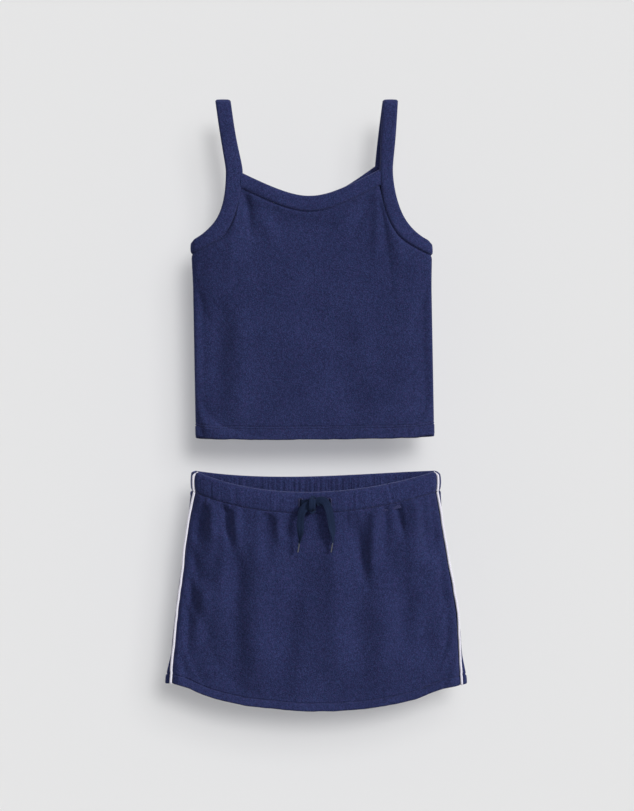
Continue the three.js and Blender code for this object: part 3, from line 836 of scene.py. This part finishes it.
def skirt_panel(side):
    front = side == "front"
    gap = 2.4
    a = np.linspace(PIPING + gap, 180 - PIPING - gap, 190) if front else back_columns(gap, 14, 14, 124)
    bottom = hem_edge(a) + 0.5 * wander(fraction(a) * 200, 80, 9)
    high = waist_seam(a) + 1.0
    down = closer_rows(0.03, 20 / 270, 38, 270)
    z = high[:, None] + (bottom + 2 - high)[:, None] * down[None, :]
    x, y = skirt_xy(a[:, None] + 0 * z, z)
    grid = np.stack([x, y, z], -1)
    centre = grid * [0.9, 0, 1] + [0, SKIRT_SEAM_Y - 4, 0]
    normals = facing(grid_normals(grid), grid, centre)
    sag = settle(grid, down, 84, 0.12, 0.020, 22, 6, 9)
    s = travelled(grid[:, 40, :2])  # round the garment, at a row well below the seam
    inside = np.minimum(s, s[-1] - s)[:, None]
    edge = smooth(inside / 16) * smooth((high[:, None] - z) / 10)
    out = np.clip(1.25 * np.sum(sag * normals, -1), -6, 6) * edge
    below = high[:, None] - z
    across = s[:, None] + 0 * z
    gathers = 0.9 * wander(across, 21, 41 if front else 42) * np.exp(-below / 18) * smooth(below / 3)
    swells = 1.1 * wander(across, 46, 43 if front else 44, 2) * np.exp(-below / 70)
    gathers = gathers + swells * smooth(below / 6)
    out += gathers * smooth(inside / 8)
    if front:
        for start, end, width, height in SKIRT_FOLDS:
            out += 1.22 * ridge(x, z, start, end, width, height) * edge
    out += 1.4 * wander2(x, z, 110, 51 if front else 52) * edge + 0.25 * wander2(x, z, 32, 53) * edge
    above = z - bottom[:, None]
    turn_up = (11.4 + 2.6 * fraction(a) ** 4)[:, None]  # the hem is a little deeper at the sides
    stitch = hump(above - turn_up, 0.9)
    out += 0.6 * smooth((turn_up - above) / 3) - 1.15 * stitch
    out += 0.3 * smooth((turn_up + 2 - above) / 6) * wander(across, 15, 6)
    out -= 1.3 * hump(inside, 2.2)
    out -= 0.9 * hump(below, 1.6) + 1.0 * hump(below, 1.0)
    outer = grid + normals * out[..., None]
    inset = CLOTH + 2.3 * smooth((turn_up + 0.3 - above) / 0.8)
    rounding = np.ones_like(z)
    rounding[:, -4:] = HEM_ROUNDING
    made = panel(f"skirt_{side}", outer, normals, TERRY, inset, rounding)
    rows = [np.interp(-(b + turn_up[k, 0]), -z[k], np.arange(z.shape[1])) for k, b in enumerate(bottom)]
    out = read_rows(normals, rows)[2:-2]
    return made, [(read_rows(outer, rows)[2:-2] + out * 0.1, out)]


# Heights across the waistband, from its seam at 0 to its fold at 1, closer at the buttonholes' ends.
BAND_ROWS = (
    0.0, 0.03, 0.08, 0.15, 0.21, 0.26, 0.31, 0.38, 0.46, 0.54,
    0.61, 0.66, 0.71, 0.78, 0.86, 0.91, 0.95, 0.985, 1.0,
)


def waist_half(side):
    """Half of the waistband: cloth folded over elastic, puffed and rippled between its fold and its seam."""
    front = side == "front"
    gap = 2.6
    a = np.linspace(PIPING + gap, 180 - PIPING - gap, 300) if front else back_columns(gap, 24, 24, 320)
    if front:  # closer columns across the buttonholes
        a = np.unique(np.concatenate([a] + [90 + side * np.linspace(5.0, 15.0, 40) for side in (-1, 1)]))
    high, low = waist_edge(a), waist_seam(a)
    px, py = skirt_xy(a, low)
    if not front:  # rounded corners
        high = high - 3.0 * np.clip((np.abs(px) - np.abs(px).max() + 6) / 6, 0, 1) ** 2.2
    s = travelled(np.stack([px, py], -1))
    inside = np.minimum(s, s[-1] - s)
    calm = smooth(inside / 10)
    ripple = (0.50 * wander(s, 19, 61 if front else 62) + 0.24 * wander(s, 9, 63 if front else 64, 2)) * calm
    furrows = 0.5 * (1 + np.tanh(1.4 * wander(s, 11, 65 if front else 66))) * calm
    qx, qy = skirt_xy(a, low, -6.0)
    outward = unit(np.stack([px - qx, py - qy, 0 * px], -1))
    holes = [centre(f"{hand}_buttonhole") for hand in ("left", "right")] if front else []
    loops = []
    for v in BAND_ROWS:
        turned = 1 - math.sqrt(max(0, 1 - max(0, (v - 0.90) / 0.10) ** 2))  # over the fold at the top
        sewn = math.exp(-((v / 0.05) ** 2))
        full = math.sin(math.pi * min(1, 0.10 + v * 0.82))
        outer = 1.7 * math.sin(math.pi * min(1, v * 1.02)) ** 0.6 - 1.3 * sewn - 3.6 * turned
        outer = outer + ripple * full - 0.8 * hump(inside, 2.5)
        if front:
            wrinkle = px - 109 + 8 * v  # one sharp pucker on the wearer's left
            pucker = 1.9 * hump(wrinkle, 2.0) - 0.8 * hump(wrinkle + 5, 3)
            outer = outer - full * pucker * smooth(0.15 + v / 0.18)
        else:  # the back's ends tuck in behind the piping
            outer = outer - np.where(px > 0, 2.6, 1.3) * hump(inside, 12)
        inner = -8.4 + 3.4 * turned + 3.2 * sewn + 1.2 * furrows * full
        height = low + (high - low) * v
        for hole in holes:
            across, along = (px - hole[0]) / 1.15, (height - hole[2]) / 5.6
            outer = outer - 4.2 * np.exp(-(across ** 4) - along ** 6)
        face = np.stack([px, py, height], -1)
        loops.append((face + outward * outer[:, None], face + outward * inner[:, None]))
    loops = np.stack([o for o, _ in loops] + [i for _, i in loops[::-1]], axis=1)
    made = loft(f"{side}_waist_casing", loops, BAND)
    out = outward[3:-3]
    return made, [(loops[3:-3, 1] + out * 0.15, out)]


skirt_front, skirt_lines_f = skirt_panel("front")
skirt_back, skirt_lines_b = skirt_panel("back")
casing_front, casing_lines_f = waist_half("front")
casing_back, casing_lines_b = waist_half("back")


def elastic_strip(width=19, thick=1.2, below=15):
    """The elastic, flat inside the waistband all the way round."""
    around = np.linspace(0, 360, 240, endpoint=False)
    x, y = skirt_xy(around, waist_seam(around), -4.6)
    line = np.stack([x, y, waist_edge(around) - below], -1)
    upright = np.broadcast_to([0.0, 0.0, 1.0], line.shape)
    outward = unit(np.cross(upright, tangents(line, True)))
    return loft("elastic_strip", sections(line, upright, outward, width, thick), ELASTIC, True)


elastic = elastic_strip()
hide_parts("waist_elastic")
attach(elastic, "skirt")
skirt_stitches = stitches("skirt_hem_stitching", skirt_lines_f + skirt_lines_b, THREAD)
casing_stitches = stitches("waist_stitching", casing_lines_f + casing_lines_b, THREAD, 3.0, 2.0, 0.24)
for piece in (skirt_front, skirt_back, casing_front, casing_back, skirt_stitches, casing_stitches):
    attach(piece, "skirt")
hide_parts("skirt_front_panel", "skirt_front_hem")
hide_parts("skirt_back_panel", "skirt_back_hem")
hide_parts("front_waistband")
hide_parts("back_waistband")


def tube(name, path, radius, mat, points=16):
    along = tangents(path)
    side = unit(np.cross(along, np.array([0, -1.0, 0])))
    out = np.cross(side, along)
    return loft(name, sections(path, side, out, 2 * radius, 2 * radius, points, 2.0), mat)


HEM_STITCH = 14  # above the hem's edge, where its stitches draw in the piping
for hand, angle in (("left", PIPING), ("right", 180 - PIPING)):
    high, low = waist_edge(angle), hem_edge(angle)
    seam = waist_seam(angle)
    for where, start, end, count in (("waistband", high, seam + 0.2, 24), ("skirt", seam - 0.2, low, 90)):
        z = np.linspace(start, end, count)
        x, y = skirt_xy(angle + 0 * z, z)
        hand_side = np.sign(x[0])
        t = (start - z) / (start - end)
        if where == "waistband":
            bulge = (1.2 if hand == "left" else 1.7) * np.sin(math.pi * t) ** 0.7
            curl = -5.0 * hump(t, 0.10)
            x = x + hand_side * (bulge + curl)
            y = y - 0.6 + 2.5 * hump(t, 0.10)
            z = z - 0.8 * hump(t, 0.2)
        else:
            waver = 0.5 * wander(z, 110, 71 + (angle > 90)) * smooth(t * 8)
            x = x + hand_side * (waver - 0.9 * hump(z - low - HEM_STITCH, 1.2))
            y = y - 0.5
        radius = 1.7 - 0.22 * hump(z - low - HEM_STITCH, 1.0) * (where == "skirt")
        piece = tube(f"{hand}_{where}_piping_cover", np.stack([x, y, z], -1), radius, PIPE)
        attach(piece, "skirt")
        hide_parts(f"{hand}_{where}_piping", f"{hand}_{where}_piping_cord")

recolour("drawstring_channel_run", TAPE)
for name in ("waist_seam_allowance", "left_skirt_seam_allowance", "right_skirt_seam_allowance"):
    recolour(name, OVERLOCK)

# ---- Buttonholes, drawstring and knot ----
def buttonhole(hand, turns=44):
    cx, _, cz = centre(f"{hand}_buttonhole")
    front_y = span(f"{hand}_buttonhole")[0][1] - 1.2
    half_width, half_height = 1.3, 5.2
    verts, faces = [], []
    for k in range(turns):  # dense satin stitches round the slot
        t = 2 * math.pi * k / turns
        px = half_width * math.copysign(abs(math.cos(t)) ** 0.6, math.cos(t))
        pz = half_height * math.copysign(abs(math.sin(t)) ** 0.9, math.sin(t))
        ox, oz = 0, math.copysign(1, pz)
        if abs(px) > 0.01:
            ox, oz = unit(np.array([px / half_width ** 2, pz / half_height ** 2]))
        path = np.array([
            [cx + px + ox * reach, front_y + behind, cz + pz + oz * reach]
            for reach, behind in ((0, 1.8), (0.9, -0.2), (2.1, 0.9))
        ])
        fine = spline(path, 6)
        along = tangents(fine)
        across = unit(np.cross(along, [0.13, -1.0, 0.07]))
        ring = sections(fine, across, np.cross(across, along), 0.62, 0.62, 6, 2.0)
        base = len(verts)
        verts += list(ring.reshape(-1, 3))
        faces += thread_faces(base, 6)
    return obj_from(f"{hand}_buttonhole_stitching", verts, faces, THREAD)


for hand in ("left", "right"):
    rim = buttonhole(hand)
    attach(rim, "skirt")
    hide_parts(f"{hand}_buttonhole")


def along_way(values, count):
    """A number, or a few of them spread evenly along the way, as one for each point."""
    values = np.atleast_1d(values)
    return np.interp(np.linspace(0, 1, count), np.linspace(0, 1, len(values)), values)


def flat_tape(name, points, width, thick, mat, turn=0.0, count=70, faces_to=(0, -1, 0)):
    """A flat tape along points. width and turn, its roll in degrees, are numbers spread along the way."""
    path = spline(points, count)
    along = tangents(path)
    outward = np.broadcast_to(np.array(faces_to, float), path.shape)
    across = unit(np.cross(along, outward))
    outward = unit(np.cross(across, along))
    roll = np.radians(along_way(turn, count))[:, None]
    a2 = across * np.cos(roll) + outward * np.sin(roll)
    o2 = outward * np.cos(roll) - across * np.sin(roll)
    return loft(name, sections(path, a2, o2, along_way(width, count), thick, 52, 3.4, 0.16), mat), path


y0 = TIE_Y
knot, _ = flat_tape("knot_wrap", [
    (-3.4, y0 + 0.6, TIE_Z - 10.2), (-3.8, y0 - 3.4, TIE_Z - 11.0), (-4.0, y0 - 7.2, TIE_Z - 8.4),
    (-3.8, y0 - 8.6, TIE_Z - 3), (-3.4, y0 - 7.6, TIE_Z + 3.8), (-3.0, y0 - 4.0, TIE_Z + 6.2),
    (-2.6, y0 + 0.4, TIE_Z + 5.4),
], [8.8, 9.6, 9.8, 9.6, 9.0, 8.2, 7.5], 1.8, TAPE, count=60)
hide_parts("drawstring_knot")
leads = []
for hand, side, inner in (("left", 1, 2.5), ("right", -1, -9.0)):
    cx = centre(f"{hand}_buttonhole")[0]
    lead, _ = flat_tape(f"{hand}_lead_tape", [
        (cx - side * 0.4, y0 + 6.0, TIE_Z), (cx - side * 0.5, y0 + 2.6, TIE_Z),
        (cx - side * 1.8, y0 + 0.2, TIE_Z + 0.1), (cx - side * 5.5, y0 - 1.2, TIE_Z + 0.4),
        (cx - side * 10, y0 - 2.6, TIE_Z + 0.6), (inner, y0 - 3.6, TIE_Z - 1),
    ], [8.2, 8.2, 8.0, 8.0, 8.0, 6.5], 1.2, TAPE, count=50, faces_to=(side * 0.7, -0.7, 0))
    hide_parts(f"{hand}_drawstring_lead")
    leads.append(lead)
for piece in [knot] + leads:
    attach(piece, "skirt")

TAILS = {  # points as x, distance in front of the leads, and height above the leads
    "left": dict(
        points=[
            (0, 4.2, 0.5), (6.5, 5.4, 3.6), (13, 5.0, 2.2), (17.9, 4.4, -5.5), (20.9, 4.2, -17),
            (22.8, 4.0, -29), (24.6, 3.6, -42), (24.9, 3.0, -52), (24.2, 2.8, -57.5),
        ],
        width=[8, 10.5, 11, 10.6, 10.4, 10.6, 9.8, 6.0, 3.2],
        turn=[-18, -10, 6, 16, 10, 14, 30, 52, 62],
    ),
    "right": dict(
        points=[
            (-4.5, 4.0, -1), (-9.7, 4.8, -3.6), (-15.2, 4.8, -8), (-18.8, 4.4, -15), (-20.2, 4.2, -24.5),
            (-20.4, 4.0, -35), (-20.3, 3.8, -45), (-21.2, 3.6, -53), (-21.9, 3.4, -57.5),
        ],
        width=[10, 12, 11, 10.2, 10, 10, 9.4, 5.6, 3.2],
        turn=[14, 8, -6, -12, -8, -6, -20, -44, -56],
    ),
}
for hand, spec in TAILS.items():
    side = 1 if hand == "left" else -1
    points = [(x, y0 - ahead, TIE_Z + up) for x, ahead, up in spec["points"]]
    tail, path = flat_tape(f"{hand}_tail_tape", points, spec["width"], 1.5, TAPE, spec["turn"], 110)
    tip = path[-1]
    down = unit(path[-1] - path[-3])
    rod = np.array([tip - down * 2.0 + down * t for t in np.linspace(0, 14, 26)])
    t = np.linspace(0, 1, 26)
    nose = np.sqrt(np.clip(1 - np.clip((t - 0.9) / 0.102, 0, 1) ** 2, 0.02, 1))
    radius = 1.1 * np.where(t < 0.06, 0.8 + 3.3 * t, 1) * nose
    radius = radius - 0.22 * hump(t - 0.18, 0.03) - 0.22 * hump(t - 0.30, 0.03)
    sheath = tube(f"{hand}_aglet_sheath", rod, radius, METAL, 20)
    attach(sheath, f"{hand}_tail")
    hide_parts(f"{hand}_aglet")
    start, end = (side * 0.012, 0, (TIE_Z - 1) * MM), (side * 0.020, 0, (TIE_Z - 12) * MM)
    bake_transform(tail)
    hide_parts(f"{hand}_drawstring_tail")

# ---- Stage and light ----
def plain(name, colour, one_sided=False):
    """Plain paper. The one-sided kind is clear from behind, so that views from the back see past it."""
    mat, tree, shader = material(name, colour, 0.95)
    shader.inputs["Specular IOR Level"].default_value = 0.0
    if one_sided:
        out = tree.nodes["Material Output"]
        clear = node(tree, "ShaderNodeBsdfTransparent")
        mix = node(tree, "ShaderNodeMixShader")
        back = node(tree, "ShaderNodeNewGeometry")
        tree.links.new(back.outputs["Backfacing"], mix.inputs[0])
        tree.links.new(shader.outputs[0], mix.inputs[1])
        tree.links.new(clear.outputs[0], mix.inputs[2])
        tree.links.new(mix.outputs[0], out.inputs["Surface"])
    return mat


def plane(name, corners, mat):
    piece = obj_from(name, np.array(corners, float), [[0, 1, 2, 3]], mat, False)
    return piece


WALL_Y = 185  # clear of the hem of the top where it swings back furthest
FLOOR_Z = -1260
REACH = 40000
PAPER = (0.80, 0.80, 0.80)
wall = [(x, WALL_Y, z) for x, z in ((-REACH, FLOOR_Z), (REACH, FLOOR_Z), (REACH, REACH), (-REACH, REACH))]
ground = [(x, y, FLOOR_Z) for x, y in ((-REACH, -REACH), (REACH, -REACH), (REACH, REACH), (-REACH, REACH))]
stage = [
    plane("backdrop", wall, plain("backdrop_paper", PAPER, True)),
    plane("floor", ground, plain("floor_paper", PAPER)),
]

for piece in stage:  # plain paper that throws no light back on the cloth and no shadow of its own
    piece.visible_diffuse = False
    piece.visible_shadow = False

world = bpy.data.worlds.new("studio")
scene.world = world
world.use_nodes = True
air = world.node_tree
dim, pale = air.nodes["Background"], air.nodes.new("ShaderNodeBackground")
dim.inputs["Color"].default_value = (0.98, 0.98, 1.0, 1)
dim.inputs["Strength"].default_value = 0.14
pale.inputs["Color"].default_value = (1.0, 1.0, 1.0, 1)
pale.inputs["Strength"].default_value = 0.79
seen, both = air.nodes.new("ShaderNodeLightPath"), air.nodes.new("ShaderNodeMixShader")
air.links.new(seen.outputs["Is Camera Ray"], both.inputs[0])
air.links.new(dim.outputs[0], both.inputs[1])
air.links.new(pale.outputs[0], both.inputs[2])
air.links.new(both.outputs[0], air.nodes["World Output"].inputs["Surface"])


def stage_link(name, state):
    """The backdrop and floor as all that a lamp lights, or as all that it leaves out."""
    group = bpy.data.collections.new(name)
    for piece in stage:
        group.objects.link(piece)
    for row in group.collection_objects:
        row.light_linking.link_state = state
    return group


ON_STAGE = stage_link("on_stage", "INCLUDE")
OFF_STAGE = stage_link("off_stage", "EXCLUDE")


def sun(name, towards, strength, spread, receivers, blockers=None):
    lamp = bpy.data.lights.new(name, "SUN")
    lamp.energy = strength
    lamp.angle = math.radians(spread)
    made = bpy.data.objects.new(name, lamp)
    made.rotation_euler = Vector(towards).to_track_quat("-Z", "Y").to_euler()
    made.light_linking.receiver_collection = receivers
    made.light_linking.blocker_collection = blockers
    scene.collection.objects.link(made)


sun("backdrop_soft_key", (-0.165, 1.0, -0.225), 0.84, 24, ON_STAGE)
sun("backdrop_hard_key", (-0.115, 1.0, -0.165), 0.84, 9, ON_STAGE)
sun("backdrop_fill", (0.0, 1.0, -0.004), 0.955, 8, ON_STAGE, ON_STAGE)
sun("floor_light", (0.0, 0.02, -1.0), 2.27, 12, ON_STAGE)
sun("key", (-0.95, 0.66, -0.50), 2.75, 14, OFF_STAGE)
sun("front_fill", (0.10, 1.0, -0.22), 1.05, 100, OFF_STAGE)
sun("rear_key", (0.75, -0.70, -0.46), 2.10, 20, OFF_STAGE)
sun("rear_fill", (-0.2, -1.0, -0.25), 1.10, 100, OFF_STAGE)

scene.view_settings.view_transform = "Standard"
